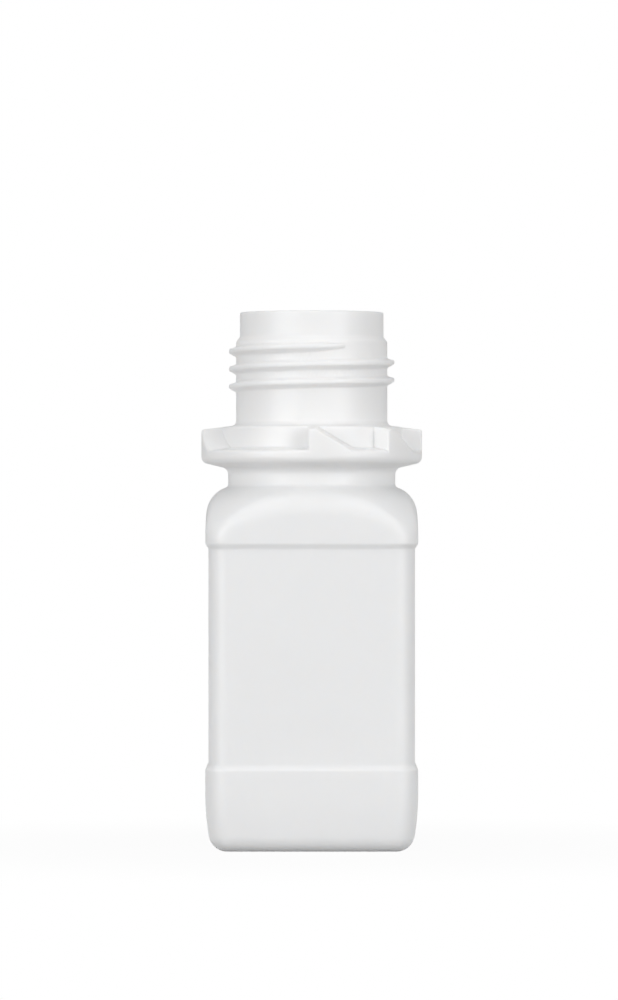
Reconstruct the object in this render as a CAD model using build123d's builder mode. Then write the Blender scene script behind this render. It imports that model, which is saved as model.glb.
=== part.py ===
from build123d import *
import os
from math import atan, cos, pi, radians, sin, sqrt, tan

# A small square media bottle, blow moulded in one piece. Millimetres, +Z up.
# The origin is the middle of the base, on the surface that the bottle stands on.
# Azimuths are in degrees from +X, counter-clockwise seen from above, and -90 is the front.

# Body, square in plan
body_width = 35.7
corner_radius = 3.95
wall = 1.0

# Base: a rounded edge, and above it the four sides roll in a little towards it
base_edge_radius = 3.4
base_roll_radius = 36.0
base_roll_angle = 8.4
push_up_width = 21.0
push_up_corner = 4.0
push_up_depth = 1.1
push_up_taper = 40.0

# Label panel, sunk into all four sides between two soft steps
panel_bottom = 14.0
panel_recess = 0.53
panel_step_height = 1.0
panel_step_radius = 1.0

# Shoulder: a domed top on the square body, with a rounded edge. A narrow land of the dome is left
# beside the waist at the middle of each side, and a short straight side above the panel at the corners
shoulder_height = 61.2
shoulder_edge_radius = 4.8
dome_arc_radius = 18.2
dome_land = 0.55
corner_land = 2.2

# Waist between the shoulder and the collar
waist_diameter = 28.4
waist_height = 3.04
waist_wall = 1.3
waist_fillet = 0.65

# Collar: a hub, and round its foot a ring whose top is a sloping ledge
collar_diameter = 37.5
collar_underside_slope = 12.4
underside_fillet = 1.2
ring_thickness = 1.54
ring_bottom_edge_radius = 0.85
ring_top_edge = 0.3
ledge_slope = 15.0
hub_step = 2.45
hub_height = 3.62
collar_top_slope = 6.6

# Ratchet teeth on the ledge: two groups of three, with none where the mould parts. They stand just
# inside the ring's rim and just under the top of the hub
tooth_pitch_angle = 45.0
teeth_in_group = 3
first_tooth_azimuth = -92.0
tooth_land = 1.5
tooth_ramp_slope = 32.5
tooth_set_back = 0.12
tooth_drop = 0.05
tooth_edge_radius = 0.4
tooth_root = 1.7

# Neck and rim
neck_diameter = 25.7
neck_height = 14.8
neck_top_edge_radius = 0.6
rim_height = 4.4
rim_step = 0.65
rim_wall = 1.45
rim_edge = 0.25

# Right-hand thread: one bead, with an arc of smaller radius at each end that sinks it into the neck
thread_pitch = 3.0
thread_turns = 2.4
thread_top_azimuth = -80.0
thread_top_drop = 1.65
thread_height = 1.2
thread_root_width = 1.75
thread_crest_width = 0.9
thread_crest_edge = 0.28
thread_root = 0.4
thread_run_out_radius = 5.0
thread_run_out_turn = 60.0

# Radii and plan sizes, worked out from the sizes above
half_width = body_width / 2
corner_axis = half_width - corner_radius
corner_reach = corner_axis * sqrt(2) + corner_radius
waist_radius = waist_diameter / 2
waist_bore_radius = waist_radius - waist_wall
collar_radius = collar_diameter / 2
neck_radius = neck_diameter / 2
hub_radius = neck_radius + hub_step
rim_radius = neck_radius - rim_step
bore_radius = rim_radius - rim_wall

# Heights of the base and the shoulder. The base's rounded edge stays smaller than the corner it runs round
roll_angle = radians(base_roll_angle)
roll_depth = base_roll_radius * (1 - cos(roll_angle))
base_edge = min(base_edge_radius, (corner_radius - roll_depth) / cos(roll_angle))
base_roll_height = base_roll_radius * sin(roll_angle) + base_edge * (1 - sin(roll_angle))
land_radius = waist_radius + dome_land
edge_overlap = land_radius + shoulder_edge_radius - half_width
dome_arc_offset = land_radius - dome_arc_radius * edge_overlap / shoulder_edge_radius
dome_centre_height = shoulder_height - sqrt(dome_arc_radius**2 - (waist_radius - dome_arc_offset) ** 2)
corner_height = dome_centre_height + sqrt(dome_arc_radius**2 - (corner_reach - dome_arc_offset) ** 2)
panel_top = corner_height - corner_land - panel_step_height / 2
blank_height = shoulder_height + shoulder_edge_radius

# Heights above the shoulder, each standing on the one below
underside_root = shoulder_height + waist_height
ring_bottom = underside_root + (collar_radius - waist_radius) * tan(radians(collar_underside_slope))
ring_top = ring_bottom + ring_thickness
ledge_height = ring_top + (collar_radius - hub_radius) * tan(radians(ledge_slope))
hub_top = ledge_height + hub_height
neck_foot = hub_top + (hub_radius - neck_radius) * tan(radians(collar_top_slope))
tooth_radius = collar_radius - tooth_set_back
tooth_inner_radius = hub_radius - tooth_root
tooth_inner_top = hub_top + tooth_root * tan(radians(collar_top_slope)) - tooth_drop
tooth_outer_top = tooth_inner_top - (tooth_radius - tooth_inner_radius) * tan(radians(collar_top_slope))
tooth_bottom = ring_bottom + ring_bottom_edge_radius
neck_top = neck_foot + neck_height
bottle_height = neck_top + rim_height
thread_top_height = neck_top - thread_top_drop


def nearest(sketch, x, y):
    """The corner of a sketch that lies nearest to a point."""
    return sketch.vertices().sort_by_distance((x, y, 0))[0]


def wall_section(inset):
    """One side of the body in section, from the corner's axis outwards, inset from the outside."""
    side = half_width - inset
    panel = side - panel_recess
    half_step = panel_step_height / 2
    with BuildSketch() as section:
        with BuildLine():
            roll = JernArc((side, base_roll_height), (0, -1), base_roll_radius - inset, -base_roll_angle)
            edge = JernArc(roll @ 1, roll % 1, base_edge - inset, base_roll_angle - 90)
            Polyline(
                edge @ 1,
                (corner_axis, inset),
                (corner_axis, blank_height),
                (side, blank_height),
                (side, panel_top + half_step),
                (panel, panel_top - half_step),
                (panel, panel_bottom + half_step),
                (side, panel_bottom - half_step),
                (side, base_roll_height),
            )
        make_face()
        for x, y in ((side, panel_top + half_step), (panel, panel_top - half_step)):
            fillet(nearest(section, x, y), panel_step_radius)
        for x, y in ((panel, panel_bottom + half_step), (side, panel_bottom - half_step)):
            fillet(nearest(section, x, y), panel_step_radius)
    return section.sketch


def square_form(inset):
    """The body as one solid, drawn inset from the outside: four sides, four corners and the domed top."""
    section = wall_section(inset)
    with BuildPart() as side:
        with BuildSketch(Plane.XZ.offset(corner_axis)):
            add(section)
        extrude(amount=-2 * corner_axis)
    with BuildPart() as corner:
        with BuildSketch(Plane.XZ.offset(-corner_axis)):
            add(section)
        revolve(axis=Axis((corner_axis, corner_axis, 0), (0, 0, 1)), revolution_arc=90)
    with BuildPart() as form:
        with BuildSketch(Plane.XY.offset(inset)):
            Rectangle(2 * corner_axis, 2 * corner_axis)
        extrude(amount=blank_height - inset)
        with PolarLocations(0, 4):
            add(side.part)
            add(corner.part)
        with BuildSketch(Plane.XZ):
            with BuildLine():
                dome = CenterArc((dome_arc_offset, dome_centre_height), dome_arc_radius - inset, 0, 90)
                Polyline(dome @ 1, (0, (dome @ 1).Y), (0, 0), ((dome @ 0).X, 0), dome @ 0)
            make_face()
        revolve(axis=Axis.Z, mode=Mode.INTERSECT)
        dome_face = form.faces().filter_by(GeomType.REVOLUTION).sort_by(SortBy.AREA)[-1]
        shoulder_edges = dome_face.edges().filter_by(GeomType.BSPLINE)
        fillet(shoulder_edges, shoulder_edge_radius - inset)
    return form.part


def neck_form():
    """Everything turned above the shoulder, solid: waist, collar hub and ring, neck and rim."""
    with BuildPart() as form:
        with BuildSketch(Plane.XZ) as profile:
            with BuildLine():
                Polyline(
                    (0, dome_centre_height),
                    (waist_radius, dome_centre_height),
                    (waist_radius, underside_root),
                    (collar_radius, ring_bottom),
                    (collar_radius, ring_top),
                    (hub_radius, ledge_height),
                    (hub_radius, hub_top),
                    (neck_radius, neck_foot),
                    (neck_radius, neck_top),
                    (rim_radius, neck_top),
                    (rim_radius, bottle_height),
                    (0, bottle_height),
                    close=True,
                )
            make_face()
            fillet(nearest(profile, waist_radius, underside_root), underside_fillet)
            fillet(nearest(profile, collar_radius, ring_bottom), ring_bottom_edge_radius)
            chamfer(nearest(profile, collar_radius, ring_top), ring_top_edge)
            fillet(nearest(profile, neck_radius, neck_top), neck_top_edge_radius)
            chamfer(nearest(profile, rim_radius, bottle_height), rim_edge)
        revolve(axis=Axis.Z)
    return form.part


def ratchet_tooth():
    """One tooth with its steep face at azimuth 0 and its ramp falling counter-clockwise onto the ledge."""
    tilt = radians(ledge_slope)
    ramp = tan(radians(tooth_ramp_slope))
    rise = (hub_top - ledge_height) * cos(tilt)
    ledge = Plane(
        origin=(tooth_inner_radius, 0, ledge_height + tooth_root * tan(tilt)),
        x_dir=(0, 1, 0),
        z_dir=(cos(tilt), 0, -sin(tilt)),
    )
    with BuildPart() as tooth:
        with BuildSketch(ledge):
            with BuildLine():
                Polyline(
                    (0, -tooth_root),
                    (0, rise + tooth_land * ramp),
                    (tooth_land + (rise + tooth_root) / ramp, -tooth_root),
                    close=True,
                )
            make_face()
        extrude(amount=2 * (collar_radius - hub_radius))
        with BuildSketch(Plane.XZ) as envelope:
            with BuildLine():
                Polyline(
                    (tooth_inner_radius, tooth_bottom),
                    (tooth_radius, tooth_bottom),
                    (tooth_radius, tooth_outer_top),
                    (tooth_inner_radius, tooth_inner_top),
                    close=True,
                )
            make_face()
            fillet(nearest(envelope, tooth_radius, tooth_outer_top), tooth_edge_radius)
        revolve(axis=Axis.Z, mode=Mode.INTERSECT)
    return tooth.part


def thread_section():
    """The bead in section, with X away from the neck's surface. Its flanks run on into the neck."""
    flank_lean = (thread_root_width - thread_crest_width) / (2 * thread_height)
    foot = thread_root_width / 2 + flank_lean * thread_root
    with BuildSketch() as section:
        with BuildLine():
            Polyline(
                (-thread_root, -foot),
                (thread_height, -thread_crest_width / 2),
                (thread_height, thread_crest_width / 2),
                (-thread_root, foot),
                close=True,
            )
        make_face()
        chamfer(section.vertices().group_by(Axis.X)[-1], thread_crest_edge)
    return section.sketch


def thread_bead():
    """The bead from its lower end at azimuth 0, with an arc at each end that sinks it into the neck."""
    section = thread_section()
    lead = atan(thread_pitch / (2 * pi * neck_radius))
    across = Plane(origin=(neck_radius, 0, 0), x_dir=(1, 0, 0), z_dir=(0, cos(lead), sin(lead)))
    run_out_axis = Axis((neck_radius + thread_height - thread_run_out_radius, 0, 0), across.y_dir)
    with BuildPart() as turns:
        with BuildLine():
            Helix(pitch=thread_pitch, height=thread_pitch * thread_turns, radius=neck_radius)
        with BuildSketch(across):
            add(section)
        sweep(is_frenet=True)
    with BuildPart() as lower_run_out:
        with BuildSketch(across):
            add(section)
        revolve(axis=run_out_axis, revolution_arc=thread_run_out_turn)
    with BuildPart() as upper_run_out:
        with BuildSketch(across):
            add(section)
        revolve(axis=run_out_axis.reverse(), revolution_arc=thread_run_out_turn)
    with BuildPart() as bead:
        add(turns.part)
        add(lower_run_out.part)
        with Locations(Location((0, 0, thread_pitch * thread_turns), (0, 0, 360 * thread_turns))):
            add(upper_run_out.part)
    return bead.part


def push_up(inset):
    """The dish under the base, or with an inset, the raised floor above it."""
    width = push_up_width + 2 * inset
    with BuildPart() as dish:
        with BuildSketch(Plane.XY.offset(inset)):
            RectangleRounded(width, width, push_up_corner + inset)
        extrude(amount=push_up_depth, taper=push_up_taper)
        fillet(dish.edges().group_by(Axis.Z)[-1], push_up_depth)
    return dish.part


def inside_form():
    """The space inside the bottle, from the floor to the mouth."""
    floor = push_up(wall)
    with BuildPart() as inside:
        add(square_form(wall))
        add(floor, mode=Mode.SUBTRACT)
        with BuildSketch(Plane.XZ):
            Polygon(
                (0, dome_centre_height),
                (waist_bore_radius, dome_centre_height),
                (waist_bore_radius, underside_root),
                (bore_radius, underside_root + waist_bore_radius - bore_radius),
                (bore_radius, bottle_height),
                (0, bottle_height),
                align=None,
            )
        revolve(axis=Axis.Z)
    return inside.part


def tooth_azimuths():
    """Where the steep faces stand: the two groups face each other across the bottle."""
    for group_azimuth in (first_tooth_azimuth, first_tooth_azimuth + 180):
        for place in range(teeth_in_group):
            yield group_azimuth + place * tooth_pitch_angle


body = square_form(0)
neck = neck_form()
tooth = ratchet_tooth()
bead = thread_bead()
dish = push_up(0)
inside = inside_form()
bead_foot = Location(
    (0, 0, thread_top_height - thread_pitch * thread_turns),
    (0, 0, thread_top_azimuth - 360 * thread_turns),
)

with BuildPart() as bottle:
    add(body)
    add(neck)
    waist_foot = bottle.edges().sort_by_distance((waist_radius, 0, shoulder_height))
    fillet(waist_foot[0], waist_fillet)
    with Locations([Location((0, 0, 0), (0, 0, azimuth)) for azimuth in tooth_azimuths()]):
        add(tooth)
    with Locations(bead_foot):
        add(bead)
    add(dish, mode=Mode.SUBTRACT)
    add(inside, mode=Mode.SUBTRACT)

bottle.part.label = "bottle"
os.makedirs("parts", exist_ok=True)
export_step(bottle.part, "parts/bottle.step")
print("brimful volume, ml:", inside.volume / 1000)
print("plastic, ml:", bottle.part.volume / 1000)
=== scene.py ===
import math

import bmesh
import bpy
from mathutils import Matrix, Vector


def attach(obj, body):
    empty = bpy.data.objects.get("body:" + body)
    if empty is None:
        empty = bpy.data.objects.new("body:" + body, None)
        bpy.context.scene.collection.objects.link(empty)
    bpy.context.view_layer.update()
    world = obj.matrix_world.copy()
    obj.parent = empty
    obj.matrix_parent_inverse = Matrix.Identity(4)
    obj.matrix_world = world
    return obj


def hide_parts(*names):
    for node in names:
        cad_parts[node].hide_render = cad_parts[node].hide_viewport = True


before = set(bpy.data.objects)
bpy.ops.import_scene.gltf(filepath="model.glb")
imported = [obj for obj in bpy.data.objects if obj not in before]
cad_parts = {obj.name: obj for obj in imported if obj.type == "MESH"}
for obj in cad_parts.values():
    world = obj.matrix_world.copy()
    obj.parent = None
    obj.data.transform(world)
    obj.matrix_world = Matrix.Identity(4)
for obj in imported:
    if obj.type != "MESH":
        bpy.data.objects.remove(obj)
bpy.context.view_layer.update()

# Bottle skin: the blow-moulded wall, outside and inside, as one closed surface. A square body with
# round corners runs into a domed shoulder and a turned waist, collar, neck and mouth. Millimetres.
BODY_HALF = 17.85
BODY_CORNER = 3.95
WALL = 1.0
FLAT_COLUMNS = 24
CORNER_COLUMNS = 20


def column_azimuths():
    """Azimuths of the skin's columns: even over the flats, and closer together over the corners."""
    axis = BODY_HALF - BODY_CORNER
    corner_start = math.atan2(axis, BODY_HALF)
    azimuths = []
    for quarter in range(4):
        turn = quarter * math.pi / 2
        for step in range(FLAT_COLUMNS):
            azimuths.append(turn - corner_start + 2 * corner_start * step / FLAT_COLUMNS)
        for step in range(CORNER_COLUMNS):
            facing = math.pi / 2 * step / CORNER_COLUMNS
            across = axis + BODY_CORNER * math.cos(facing)
            along = axis + BODY_CORNER * math.sin(facing)
            azimuths.append(turn + math.atan2(along, across))
    return azimuths


def square_reach(azimuth, half, corner, inset):
    """How far a square with round corners reaches from its middle, drawn inset from its outside."""
    axis = half - corner
    folded = abs((azimuth + math.pi / 4) % (math.pi / 2) - math.pi / 4)
    flat_reach = (half - inset) / math.cos(folded)
    if flat_reach * math.sin(folded) <= axis:
        return flat_reach
    along = axis * (math.cos(folded) + math.sin(folded))
    across = axis * (math.cos(folded) - math.sin(folded))
    return along + math.sqrt((corner - inset) ** 2 - across**2)


def arc(centre, radius, start, end, steps):
    """Points along an arc, with its angles in radians from +x and both ends included."""
    angles = [start + (end - start) * step / steps for step in range(steps + 1)]
    return [(centre[0] + radius * math.cos(a), centre[1] + radius * math.sin(a)) for a in angles]


def rounded(corners, steps=5):
    """The points of a line through (x, y, radius) corners, each rounded by its own radius."""
    points = []
    for place, (x, y, radius) in enumerate(corners):
        if radius == 0:
            points.append((x, y))
            continue
        here = Vector((x, y))
        before = (Vector(corners[place - 1][:2]) - here).normalized()
        after = (Vector(corners[place + 1][:2]) - here).normalized()
        half_angle = before.angle(after) / 2
        reach = radius / math.tan(half_angle)
        centre = here + (before + after).normalized() * radius / math.sin(half_angle)
        start = (here + before * reach - centre).normalized()
        end = (here + after * reach - centre).normalized()
        points += [tuple(centre + start.slerp(end, step / steps) * radius) for step in range(steps + 1)]
    return points


# The body's side from the standing ring upwards, as (inset, height): a round base edge, a side that
# rolls in towards it, and the sunk label panel between two soft steps.
ROLL_RADIUS = 45.0
ROLL_ANGLE = math.radians(9.2)
BASE_EDGE = 3.1
ROLL_TOP = ROLL_RADIUS * math.sin(ROLL_ANGLE) + BASE_EDGE * (1 - math.sin(ROLL_ANGLE))
PANEL_RECESS = 0.53
PANEL_BOTTOM = 14.15
PANEL_TOP = 51.2
PANEL_STEP = 0.8
PANEL_STEP_ROUND = 0.7
ROLL_STEPS = 12
BASE_EDGE_STEPS = 14
SIDE_END = 0.64


def side_line(inset):
    """(inset, height) up the side of the body, for the skin that lies inset from the outside."""
    roll = arc((ROLL_RADIUS, ROLL_TOP), ROLL_RADIUS - inset, math.pi + ROLL_ANGLE, math.pi, ROLL_STEPS)
    arm = ROLL_RADIUS - BASE_EDGE
    edge_centre = (ROLL_RADIUS - arm * math.cos(ROLL_ANGLE), ROLL_TOP - arm * math.sin(ROLL_ANGLE))
    foot = 1.5 * math.pi
    edge = arc(edge_centre, BASE_EDGE - inset, foot, math.pi + ROLL_ANGLE, BASE_EDGE_STEPS)
    panel = inset + PANEL_RECESS
    steps = rounded([
        (inset, PANEL_BOTTOM - PANEL_STEP, 0),
        (inset, PANEL_BOTTOM - PANEL_STEP / 2, PANEL_STEP_ROUND),
        (panel, PANEL_BOTTOM + PANEL_STEP / 2, PANEL_STEP_ROUND),
        (panel, PANEL_TOP - PANEL_STEP / 2, PANEL_STEP_ROUND),
        (inset, PANEL_TOP + PANEL_STEP / 2, PANEL_STEP_ROUND),
        (inset, PANEL_TOP + SIDE_END, 0),
    ])
    return edge + roll[1:] + steps


# The shoulder: an arc turned about the bottle's axis makes the dome, and a rounded edge joins it to
# the sides.
DOME_CENTRE = (8.3, 43.98)
DOME_RADIUS = 18.2
SHOULDER_EDGE = 4.8
WAIST_RADIUS = 14.2
WAIST_FILLET = 0.65
WAIST_BORE = 12.9
SHOULDER_STEPS = 16
DOME_STEPS = 8
WAIST_FILLET_STEPS = 6


def shoulder_line(reach, inset):
    """(radius, height) from the top of the side, over the shoulder's edge and the dome."""
    dome = DOME_RADIUS - inset
    edge = SHOULDER_EDGE - inset
    across = reach - edge - DOME_CENTRE[0]
    rise = math.sqrt((dome - edge) ** 2 - across**2)
    dome_start = math.atan2(rise, across)
    edge_centre = (reach - edge, DOME_CENTRE[1] + rise)
    shoulder_edge = arc(edge_centre, edge, 0, dome_start, SHOULDER_STEPS)
    if inset:
        dome_end = math.acos((WAIST_BORE - DOME_CENTRE[0]) / dome)
        return shoulder_edge + arc(DOME_CENTRE, dome, dome_start, dome_end, DOME_STEPS)[1:]
    dome_end = math.acos((WAIST_RADIUS + WAIST_FILLET - DOME_CENTRE[0]) / (dome + WAIST_FILLET))
    foot_height = DOME_CENTRE[1] + (dome + WAIST_FILLET) * math.sin(dome_end)
    foot_centre = (WAIST_RADIUS + WAIST_FILLET, foot_height)
    foot = arc(foot_centre, WAIST_FILLET, math.pi + dome_end, math.pi, WAIST_FILLET_STEPS)
    return shoulder_edge + arc(DOME_CENTRE, dome, dome_start, dome_end, DOME_STEPS)[1:] + foot[1:]


# The turned part above the shoulder, as (radius, height, rounding): waist, collar ring, sloping
# ledge, hub, neck, rim and mouth, and then down the bore to the inside of the waist.
UNDERSIDE = 64.24
COLLAR_RADIUS = 18.75
COLLAR_BOTTOM = 65.34
LEDGE_RIM = 67.2
LEDGE_ROOT = 67.705
HUB_RADIUS = 15.3
HUB_TOP = 71.325
NECK_RADIUS = 12.85
NECK_FOOT = 71.608
NECK_TOP = 86.408
NECK_SLOPE = 0.6
RIM_RADIUS = 12.2
BORE_RADIUS = 10.75
MOUTH = 90.807

turned_line = rounded([
    (WAIST_RADIUS, UNDERSIDE - 1.5, 0),
    (WAIST_RADIUS, UNDERSIDE, 1.2),
    (COLLAR_RADIUS, COLLAR_BOTTOM, 1.2),
    (COLLAR_RADIUS, LEDGE_RIM, 0.5),
    (HUB_RADIUS, LEDGE_ROOT, 0.3),
    (HUB_RADIUS, HUB_TOP, 0.45),
    (NECK_RADIUS, NECK_FOOT, 0.9),
    (NECK_RADIUS, NECK_TOP - NECK_SLOPE, 0.7),
    (RIM_RADIUS, NECK_TOP + 0.2, 0.7),
    (RIM_RADIUS, MOUTH, 0.3),
    (BORE_RADIUS, MOUTH, 0.3),
    (BORE_RADIUS, UNDERSIDE + WAIST_BORE - BORE_RADIUS, 0.5),
    (WAIST_BORE, UNDERSIDE, 0.5),
    (WAIST_BORE, UNDERSIDE - 2.0, 0),
])

# The dish that is pushed up under the base, square in plan, and the raised floor above it inside.
DISH_HALF = 10.5
DISH_CORNER = 4.0
DISH_DEPTH = 1.1
DISH_LEAN = 0.923


def dish_line(height):
    """(inset, height) from the middle of the dish out to the flat ring round it."""
    return rounded([
        (DISH_CORNER / 2, height + DISH_DEPTH, 0),
        (DISH_LEAN, height + DISH_DEPTH, 1.1),
        (0, height, 0.3),
        (-0.5, height, 0),
    ])


def skin_column(azimuth):
    """One column of the skin, from the dish up the outside, over the mouth and down the inside."""
    column = []
    for inset in (0, WALL):
        dish = [
            (square_reach(azimuth, DISH_HALF + inset, DISH_CORNER + inset, x), z)
            for x, z in dish_line(inset)
        ]
        side = [(square_reach(azimuth, BODY_HALF, BODY_CORNER, x), z) for x, z in side_line(inset)]
        shoulder = shoulder_line(square_reach(azimuth, BODY_HALF, BODY_CORNER, inset), inset)
        half = dish + side + shoulder
        column += half + turned_line if inset == 0 else half[::-1]
    return [(r * math.cos(azimuth), r * math.sin(azimuth), z) for r, z in column]


def skin_mesh():
    """The skin as one closed bmesh, in millimetres."""
    mesh = bmesh.new()
    columns = [[mesh.verts.new(point) for point in skin_column(azimuth)] for azimuth in column_azimuths()]
    base_pole = mesh.verts.new((0, 0, DISH_DEPTH))
    floor_pole = mesh.verts.new((0, 0, WALL + DISH_DEPTH))
    for place, column in enumerate(columns):
        following = columns[(place + 1) % len(columns)]
        for step in range(len(column) - 1):
            mesh.faces.new((column[step], following[step], following[step + 1], column[step + 1]))
        mesh.faces.new((base_pole, following[0], column[0]))
        mesh.faces.new((floor_pole, column[-1], following[-1]))
    return mesh


# Ratchet teeth: six ramped teeth moulded on the ledge, in two groups of three. One tooth is drawn
# with its steep face at azimuth 0, and Geometry Nodes set the six round the hub.
TOOTH_RADIUS = 18.74
TOOTH_INNER = 13.6
TOOTH_LAND = 1.5
TOOTH_RAMP = math.tan(math.radians(32.5))
TOOTH_DROP = 0.05
TOOTH_SUNK = 0.8
TOOTH_ROUND = 0.4
LEDGE_LEAN = math.atan((LEDGE_ROOT - LEDGE_RIM) / (COLLAR_RADIUS - HUB_RADIUS))
COLLAR_TOP_LEAN = math.tan(math.radians(6.6))
TOOTH_FIRST = -92.0
TOOTH_PITCH = 45.0
TEETH_IN_GROUP = 3.0
TOOTH_GROUPS = 2.0
TOOTH_RINGS = (0, 0.5, 1, 1.15, 1.3, 1.45, 1.6, 1.75, 1.9, 2)
TOOTH_CREST_SHARE = 0.6
SETTLING_ROUNDS = 4


def tooth_point(side, along):
    """(x, y, z) on top of the tooth's inner or outer side: 0 to 1 is along its land, 1 to 2 its ramp."""
    hub_rise = (HUB_TOP - LEDGE_ROOT) * math.cos(LEDGE_LEAN)
    y = 0
    for _ in range(SETTLING_ROUNDS):
        x = TOOTH_INNER if side == "inner" else math.sqrt(TOOTH_RADIUS**2 - y**2)
        ledge = LEDGE_ROOT - (x - HUB_RADIUS) * math.tan(LEDGE_LEAN)
        top = HUB_TOP - TOOTH_DROP - (math.hypot(x, y) - HUB_RADIUS) * COLLAR_TOP_LEAN
        crest = TOOTH_LAND + (hub_rise - (top - ledge) * math.cos(LEDGE_LEAN)) / TOOTH_RAMP
        foot = TOOTH_LAND + (hub_rise + TOOTH_SUNK / 2) / TOOTH_RAMP
        y = crest * along if along <= 1 else crest + (foot - crest) * (along - 1)
    ramp = ledge + (hub_rise - (y - TOOTH_LAND) * TOOTH_RAMP) / math.cos(LEDGE_LEAN)
    return (x, y, min(top, ramp))


def tooth_object():
    """One tooth as a closed mesh with rounded edges."""
    mesh = bmesh.new()
    rings = []
    for along in TOOTH_RINGS:
        ring = []
        for side in ("inner", "outer"):
            x, y, z = tooth_point(side, along)
            ledge = LEDGE_ROOT - (x - HUB_RADIUS) * math.tan(LEDGE_LEAN)
            low = min(ledge, z) - TOOTH_SUNK
            ends = [(x, y, low), (x, y, z)]
            ring += ends if side == "inner" else ends[::-1]
        rings.append([mesh.verts.new(point) for point in ring])
    for ring, following in zip(rings, rings[1:]):
        for corner in range(4):
            after = (corner + 1) % 4
            mesh.faces.new((ring[corner], following[corner], following[after], ring[after]))
    mesh.faces.new(rings[0])
    mesh.faces.new(rings[-1][::-1])
    bmesh.ops.recalc_face_normals(mesh, faces=mesh.faces)
    weight = mesh.edges.layers.float.new("bevel_weight_edge")
    for ring, following in zip(rings, rings[1:]):
        mesh.edges.get((ring[2], following[2]))[weight] = 1.0
    mesh.edges.get((rings[0][1], rings[0][2]))[weight] = 1.0
    mesh.edges.get((rings[0][2], rings[0][3]))[weight] = 1.0
    mesh.edges.get((rings[2][1], rings[2][2]))[weight] = TOOTH_CREST_SHARE
    data = bpy.data.meshes.new("ratchet_tooth")
    mesh.to_mesh(data)
    mesh.free()
    tooth = bpy.data.objects.new("ratchet_tooth", data)
    bpy.context.scene.collection.objects.link(tooth)
    edge = tooth.modifiers.new("rounded edges", "BEVEL")
    edge.width = TOOTH_ROUND
    edge.segments = 4
    edge.limit_method = "WEIGHT"
    return tooth


def node_group(name, inputs):
    """An empty geometry node group with named inputs, and its input and output nodes."""
    group = bpy.data.node_groups.new(name, "GeometryNodeTree")
    for label, kind, default in inputs:
        socket = group.interface.new_socket(label, in_out="INPUT", socket_type=kind)
        socket.default_value = default
    group.interface.new_socket("Geometry", in_out="OUTPUT", socket_type="NodeSocketGeometry")
    return group, group.nodes.new("NodeGroupInput"), group.nodes.new("NodeGroupOutput")


def math_node(group, operation, *values):
    """The output of a math node whose inputs are numbers or other outputs."""
    node = group.nodes.new("ShaderNodeMath")
    node.operation = operation
    for socket, value in zip(node.inputs, values):
        if isinstance(value, (int, float)):
            socket.default_value = value
        else:
            group.links.new(value, socket)
    return node.outputs[0]


def made_mesh(name, group):
    """The mesh that a geometry node group makes, as a bmesh in millimetres."""
    holder = bpy.data.objects.new(name, bpy.data.meshes.new(name))
    bpy.context.scene.collection.objects.link(holder)
    holder.modifiers.new(name, "NODES").node_group = group
    evaluated = holder.evaluated_get(bpy.context.evaluated_depsgraph_get())
    mesh = bmesh.new()
    mesh.from_mesh(evaluated.to_mesh())
    bpy.data.objects.remove(holder)
    return mesh


def teeth_mesh():
    """The six teeth, set round the hub by Geometry Nodes."""
    tooth = tooth_object()
    group, given, out = node_group("ratchet_teeth", [
        ("Tooth", "NodeSocketObject", tooth),
        ("Teeth in a group", "NodeSocketFloat", TEETH_IN_GROUP),
        ("First azimuth", "NodeSocketFloat", math.radians(TOOTH_FIRST)),
        ("Pitch angle", "NodeSocketFloat", math.radians(TOOTH_PITCH)),
    ])
    points = group.nodes.new("GeometryNodePoints")
    index = group.nodes.new("GeometryNodeInputIndex").outputs[0]
    source = group.nodes.new("GeometryNodeObjectInfo")
    place = group.nodes.new("GeometryNodeInstanceOnPoints")
    turn = group.nodes.new("ShaderNodeCombineXYZ")
    real = group.nodes.new("GeometryNodeRealizeInstances")
    in_group = given.outputs["Teeth in a group"]
    pitch = given.outputs["Pitch angle"]
    count = math_node(group, "MULTIPLY", in_group, TOOTH_GROUPS)
    number = math_node(group, "MODULO", index, in_group)
    side = math_node(group, "FLOOR", math_node(group, "DIVIDE", index, in_group))
    azimuth = math_node(group, "MULTIPLY_ADD", number, pitch, given.outputs["First azimuth"])
    azimuth = math_node(group, "MULTIPLY_ADD", side, math.pi, azimuth)
    group.links.new(count, points.inputs["Count"])
    group.links.new(given.outputs["Tooth"], source.inputs["Object"])
    group.links.new(points.outputs[0], place.inputs["Points"])
    group.links.new(source.outputs["Geometry"], place.inputs["Instance"])
    group.links.new(azimuth, turn.inputs["Z"])
    group.links.new(turn.outputs[0], place.inputs["Rotation"])
    group.links.new(place.outputs[0], real.inputs[0])
    group.links.new(real.outputs[0], out.inputs[0])
    mesh = made_mesh("ratchet_teeth", group)
    bpy.data.objects.remove(tooth)
    return mesh


# Thread: one right-hand bead wound on the neck, its section swept along a helix by Geometry Nodes.
# Past each end of its full turns the path sinks, so that the bead runs out into the neck. A small
# tilt lowers the path towards +X.
THREAD_PITCH = 3.0
THREAD_TURNS = 2.32
THREAD_TOP = 84.66
THREAD_TOP_AZIMUTH = -98.0
THREAD_HEIGHT = 1.2
THREAD_UPPER_FOOT = 0.95
THREAD_UPPER_CREST = 0.25
THREAD_LOWER_CREST = -0.37
THREAD_LOWER_FOOT = -0.7
THREAD_CREST_ROUND = 0.3
THREAD_FOOT_ROUND = 0.5
RUN_OUT_ANGLE = 36.0
RUN_OUT_SINK = 3.4
THREAD_TILT = 0.18
THREAD_ROOT = -0.5
THREAD_SKIN = -0.03
THREAD_STEPS = 420


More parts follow.
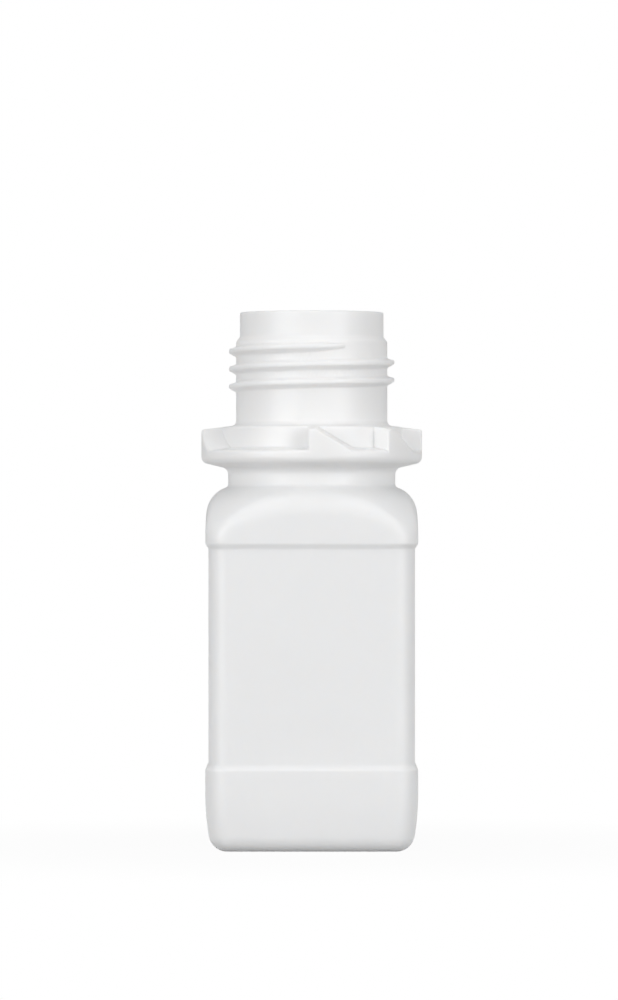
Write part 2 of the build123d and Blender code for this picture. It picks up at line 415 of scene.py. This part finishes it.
def thread_section():
    """The bead's section as a curve: -X out of the neck, Y along it. Its lower flank holds the cap."""
    top = THREAD_UPPER_FOOT + THREAD_FOOT_ROUND
    bottom = THREAD_LOWER_FOOT - THREAD_FOOT_ROUND
    points = rounded([
        (THREAD_ROOT, top, 0),
        (THREAD_SKIN, top, 0),
        (THREAD_SKIN, THREAD_UPPER_FOOT, THREAD_FOOT_ROUND),
        (THREAD_HEIGHT, THREAD_UPPER_CREST, THREAD_CREST_ROUND),
        (THREAD_HEIGHT, THREAD_LOWER_CREST, THREAD_CREST_ROUND),
        (THREAD_SKIN, THREAD_LOWER_FOOT, THREAD_FOOT_ROUND),
        (THREAD_SKIN, bottom, 0),
        (THREAD_ROOT, bottom, 0),
    ])
    curve = bpy.data.curves.new("thread_section", "CURVE")
    spline = curve.splines.new("POLY")
    spline.points.add(len(points) - 1)
    for point, (x, y) in zip(spline.points, points):
        point.co = (-x, y, 0, 1)
    spline.use_cyclic_u = True
    section = bpy.data.objects.new("thread_section", curve)
    bpy.context.scene.collection.objects.link(section)
    return section


def thread_mesh():
    """The bead, swept along its helix by Geometry Nodes."""
    section = thread_section()
    full_turn = math.radians(360 * THREAD_TURNS)
    group, given, out = node_group("thread_bead", [
        ("Section", "NodeSocketObject", section),
        ("Neck radius", "NodeSocketFloat", NECK_RADIUS),
        ("Pitch", "NodeSocketFloat", THREAD_PITCH),
        ("Full turn", "NodeSocketFloat", full_turn),
        ("Run-out angle", "NodeSocketFloat", math.radians(RUN_OUT_ANGLE)),
        ("Run-out sink", "NodeSocketFloat", RUN_OUT_SINK),
        ("Top height", "NodeSocketFloat", THREAD_TOP),
        ("Top azimuth", "NodeSocketFloat", math.radians(THREAD_TOP_AZIMUTH)),
        ("Tilt", "NodeSocketFloat", THREAD_TILT),
    ])
    line = group.nodes.new("GeometryNodeCurvePrimitiveLine")
    fine = group.nodes.new("GeometryNodeResampleCurve")
    fine.inputs["Count"].default_value = THREAD_STEPS
    share = group.nodes.new("GeometryNodeSplineParameter").outputs["Factor"]
    run_out = given.outputs["Run-out angle"]
    span = math_node(group, "MULTIPLY_ADD", run_out, 2.0, given.outputs["Full turn"])
    below_top = math_node(group, "SUBTRACT", math_node(group, "MULTIPLY", share, span), run_out)
    past_top = math_node(group, "MAXIMUM", math_node(group, "MULTIPLY", below_top, -1.0), 0.0)
    past_foot = math_node(group, "SUBTRACT", below_top, given.outputs["Full turn"])
    past = math_node(group, "MAXIMUM", past_top, past_foot)
    past_squared = math_node(group, "MULTIPLY", past, past)
    sink = math_node(group, "MULTIPLY", past_squared, given.outputs["Run-out sink"])
    radius = math_node(group, "SUBTRACT", given.outputs["Neck radius"], sink)
    azimuth = math_node(group, "SUBTRACT", given.outputs["Top azimuth"], below_top)
    lead = math_node(group, "DIVIDE", given.outputs["Pitch"], 2 * math.pi)
    drop = math_node(group, "MULTIPLY", below_top, lead)
    tilt = math_node(group, "MULTIPLY", math_node(group, "COSINE", azimuth), given.outputs["Tilt"])
    drop = math_node(group, "ADD", drop, tilt)
    where = group.nodes.new("ShaderNodeCombineXYZ")
    x = math_node(group, "MULTIPLY", radius, math_node(group, "COSINE", azimuth))
    y = math_node(group, "MULTIPLY", radius, math_node(group, "SINE", azimuth))
    z = math_node(group, "SUBTRACT", given.outputs["Top height"], drop)
    group.links.new(x, where.inputs["X"])
    group.links.new(y, where.inputs["Y"])
    group.links.new(z, where.inputs["Z"])
    bend = group.nodes.new("GeometryNodeSetPosition")
    upright = group.nodes.new("GeometryNodeSetCurveNormal")
    upright.mode = "Z_UP"
    source = group.nodes.new("GeometryNodeObjectInfo")
    sweep = group.nodes.new("GeometryNodeCurveToMesh")
    sweep.inputs["Fill Caps"].default_value = True
    group.links.new(given.outputs["Section"], source.inputs["Object"])
    group.links.new(line.outputs[0], fine.inputs["Curve"])
    group.links.new(fine.outputs[0], bend.inputs["Geometry"])
    group.links.new(where.outputs[0], bend.inputs["Position"])
    group.links.new(bend.outputs[0], upright.inputs["Curve"])
    group.links.new(upright.outputs[0], sweep.inputs["Curve"])
    group.links.new(source.outputs["Geometry"], sweep.inputs["Profile Curve"])
    group.links.new(sweep.outputs[0], out.inputs[0])
    mesh = made_mesh("thread_bead", group)
    bpy.data.objects.remove(section)
    return mesh


# The moulding: skin, teeth and thread are fused into one closed surface, because the bottle is blown
# in one piece. Points that all but touch are merged, and millimetres become metres.
MERGE_DISTANCE = 0.004
MILLIMETRE = 0.001
SHARP_ANGLE = math.radians(40)
FLAT_WEIGHT = 60


def mesh_object(name, mesh):
    """An object with a bmesh's faces, turned outwards."""
    bmesh.ops.recalc_face_normals(mesh, faces=mesh.faces)
    for face in mesh.faces:
        face.smooth = True
    data = bpy.data.meshes.new(name)
    mesh.to_mesh(data)
    mesh.free()
    result = bpy.data.objects.new(name, data)
    bpy.context.scene.collection.objects.link(result)
    return result


skin = mesh_object("skin", skin_mesh())
for name, mesh in (("teeth", teeth_mesh()), ("thread", thread_mesh())):
    raised = mesh_object(name, mesh)
    fuse = skin.modifiers.new(name, "BOOLEAN")
    fuse.operation = "UNION"
    fuse.solver = "EXACT"
    fuse.object = raised
evaluated = skin.evaluated_get(bpy.context.evaluated_depsgraph_get())
fused = bpy.data.meshes.new_from_object(evaluated)
moulding = bmesh.new()
moulding.from_mesh(fused)
bmesh.ops.remove_doubles(moulding, verts=moulding.verts, dist=MERGE_DISTANCE)
loose = [edge for edge in moulding.edges if not edge.link_faces]
bmesh.ops.delete(moulding, geom=loose, context="EDGES")
bmesh.ops.scale(moulding, vec=(MILLIMETRE, MILLIMETRE, MILLIMETRE), verts=moulding.verts)
for face in moulding.faces:
    face.smooth = True
bottle_data = bpy.data.meshes.new("bottle_moulding")
moulding.to_mesh(bottle_data)
moulding.free()
for name in ("skin", "teeth", "thread"):
    bpy.data.objects.remove(bpy.data.objects[name])
bpy.data.meshes.remove(fused)
bottle = bpy.data.objects.new("bottle_moulding", bottle_data)
bpy.context.scene.collection.objects.link(bottle)
bottle_data.set_sharp_from_angle(angle=SHARP_ANGLE)
weighted = bottle.modifiers.new("flat faces stay flat", "WEIGHTED_NORMAL")
weighted.keep_sharp = True
weighted.weight = FLAT_WEIGHT
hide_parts("bottle")
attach(bottle, "root")

# White polyethylene: opaque and a little waxy, with a satin skin that the mould leaves very slightly
# uneven. Light passes a short way under the skin, which softens the shadows in its creases.
WHITE = (0.905, 0.905, 0.905, 1)
WHITE_SHADED = (0.88, 0.88, 0.88, 1)

plastic = bpy.data.materials.new("white_plastic")
plastic.use_nodes = True
nodes = plastic.node_tree.nodes
links = plastic.node_tree.links
shader = nodes["Principled BSDF"]
shader.inputs["IOR"].default_value = 1.5
shader.inputs["Subsurface Weight"].default_value = 0.7
shader.inputs["Subsurface Radius"].default_value = (1.0, 0.95, 0.9)
shader.inputs["Subsurface Scale"].default_value = 0.0013
where = nodes.new("ShaderNodeTexCoord")
cloud = nodes.new("ShaderNodeTexNoise")
cloud.inputs["Scale"].default_value = 70
cloud.inputs["Detail"].default_value = 3
tint = nodes.new("ShaderNodeMix")
tint.data_type = "RGBA"
tint.inputs["A"].default_value = WHITE
tint.inputs["B"].default_value = WHITE_SHADED
sheen = nodes.new("ShaderNodeMapRange")
sheen.inputs["To Min"].default_value = 0.36
sheen.inputs["To Max"].default_value = 0.48
grain = nodes.new("ShaderNodeTexNoise")
grain.inputs["Scale"].default_value = 1600
grain.inputs["Detail"].default_value = 2
skin_relief = nodes.new("ShaderNodeBump")
skin_relief.inputs["Strength"].default_value = 0.25
skin_relief.inputs["Distance"].default_value = 0.00001
soft_joins = nodes.new("ShaderNodeBevel")
soft_joins.samples = 6
soft_joins.inputs["Radius"].default_value = 0.0003
links.new(where.outputs["Object"], cloud.inputs["Vector"])
links.new(where.outputs["Object"], grain.inputs["Vector"])
links.new(cloud.outputs["Fac"], tint.inputs["Factor"])
links.new(cloud.outputs["Fac"], sheen.inputs["Value"])
links.new(tint.outputs["Result"], shader.inputs["Base Color"])
links.new(sheen.outputs[0], shader.inputs["Roughness"])
links.new(grain.outputs["Fac"], skin_relief.inputs["Height"])
links.new(soft_joins.outputs[0], skin_relief.inputs["Normal"])
links.new(skin_relief.outputs[0], shader.inputs["Normal"])
bottle.data.materials.append(plastic)

# Floor: a pale paper sheet. It shows white to the camera and keeps a faint shadow close to the
# bottle, where a small share of its matt surface is seen.
FLOOR_HALF = 3
NEAR_SHARE = 0.96
FADE_START = 0.03
FADE_END = 0.11

floor_data = bpy.data.meshes.new("floor")
corners = [(x * FLOOR_HALF, y * FLOOR_HALF, 0) for x, y in ((-1, -1), (1, -1), (1, 1), (-1, 1))]
floor_data.from_pydata(corners, [], [(0, 1, 2, 3)])
floor = bpy.data.objects.new("floor", floor_data)
bpy.context.scene.collection.objects.link(floor)
paper = bpy.data.materials.new("floor_paper")
paper.use_nodes = True
nodes = paper.node_tree.nodes
links = paper.node_tree.links
matte = nodes["Principled BSDF"]
matte.inputs["Base Color"].default_value = (0.45, 0.45, 0.45, 1)
matte.inputs["Roughness"].default_value = 0.9
glow = nodes.new("ShaderNodeEmission")
rays = nodes.new("ShaderNodeLightPath")
choose = nodes.new("ShaderNodeMixShader")
seen = nodes.new("ShaderNodeMath")
seen.operation = "MAXIMUM"
place = nodes.new("ShaderNodeTexCoord")
distance = nodes.new("ShaderNodeVectorMath")
distance.operation = "LENGTH"
fade = nodes.new("ShaderNodeMapRange")
fade.interpolation_type = "SMOOTHSTEP"
fade.inputs["From Min"].default_value = FADE_START
fade.inputs["From Max"].default_value = FADE_END
fade.inputs["To Min"].default_value = NEAR_SHARE
fade.inputs["To Max"].default_value = 1.0
seen_share = nodes.new("ShaderNodeMath")
seen_share.operation = "MULTIPLY"
links.new(place.outputs["Object"], distance.inputs[0])
links.new(distance.outputs["Value"], fade.inputs["Value"])
links.new(fade.outputs[0], seen_share.inputs[1])
links.new(rays.outputs["Is Camera Ray"], seen.inputs[0])
links.new(rays.outputs["Is Glossy Ray"], seen.inputs[1])
links.new(seen.outputs[0], seen_share.inputs[0])
links.new(seen_share.outputs[0], choose.inputs[0])
links.new(matte.outputs[0], choose.inputs[1])
links.new(glow.outputs[0], choose.inputs[2])
links.new(choose.outputs[0], nodes["Material Output"].inputs["Surface"])
floor_data.materials.append(paper)

# Light: an even surround, two large soft lamps in front at the left and right, and one overhead.
# Each lamp hangs a metre from its aim, a point inside the bottle, and faces it.
SURROUND = 0.36
LAMP_AIM = Vector((0, 0, 0.05))
LAMPS = (
    # name, azimuth, elevation, width, height, power
    ("softbox_left", -135, 5, 0.5, 0.8, 6.5),
    ("softbox_right", -45, 5, 0.5, 0.8, 6.1),
    ("overhead", -90, 75, 1.0, 1.0, 2.2),
)

world = bpy.data.worlds.new("studio")
bpy.context.scene.world = world
world.use_nodes = True
nodes = world.node_tree.nodes
links = world.node_tree.links
surround = nodes["Background"]
surround.inputs["Color"].default_value = (1, 1, 1, 1)
surround.inputs["Strength"].default_value = SURROUND
backdrop = nodes.new("ShaderNodeBackground")
backdrop.inputs["Color"].default_value = (1, 1, 1, 1)
rays = nodes.new("ShaderNodeLightPath")
choose = nodes.new("ShaderNodeMixShader")
seen = nodes.new("ShaderNodeMath")
seen.operation = "MAXIMUM"
links.new(rays.outputs["Is Camera Ray"], seen.inputs[0])
links.new(rays.outputs["Is Transmission Ray"], seen.inputs[1])
links.new(seen.outputs[0], choose.inputs[0])
links.new(surround.outputs[0], choose.inputs[1])
links.new(backdrop.outputs[0], choose.inputs[2])
links.new(choose.outputs[0], nodes["World Output"].inputs["Surface"])

for name, azimuth, elevation, width, height, power in LAMPS:
    lamp = bpy.data.lights.new(name, "AREA")
    lamp.shape = "RECTANGLE"
    lamp.size = width
    lamp.size_y = height
    lamp.energy = power
    holder = bpy.data.objects.new(name, lamp)
    level = math.cos(math.radians(elevation))
    direction = Vector((
        math.cos(math.radians(azimuth)) * level,
        math.sin(math.radians(azimuth)) * level,
        math.sin(math.radians(elevation)),
    ))
    holder.location = LAMP_AIM + direction
    holder.rotation_euler = direction.to_track_quat("Z", "Y").to_euler()
    bpy.context.scene.collection.objects.link(holder)

# Camera: a long lens about a metre in front of the bottle. It looks level, from the height of the
# bottle's shoulder.
EYE_HEIGHT = 0.05894
EYE_DISTANCE = 1.02
EYE_SIDE = -0.00046
camera_data = bpy.data.cameras.new("camera")
camera_data.lens = 216
camera_data.sensor_width = 36
camera_data.sensor_fit = "AUTO"
camera = bpy.data.objects.new("camera", camera_data)
camera.location = (EYE_SIDE, -EYE_DISTANCE, EYE_HEIGHT)
camera.rotation_euler = (math.pi / 2, 0, 0)
bpy.context.scene.collection.objects.link(camera)
bpy.context.scene.camera = camera
bpy.context.scene.view_settings.view_transform = "Standard"
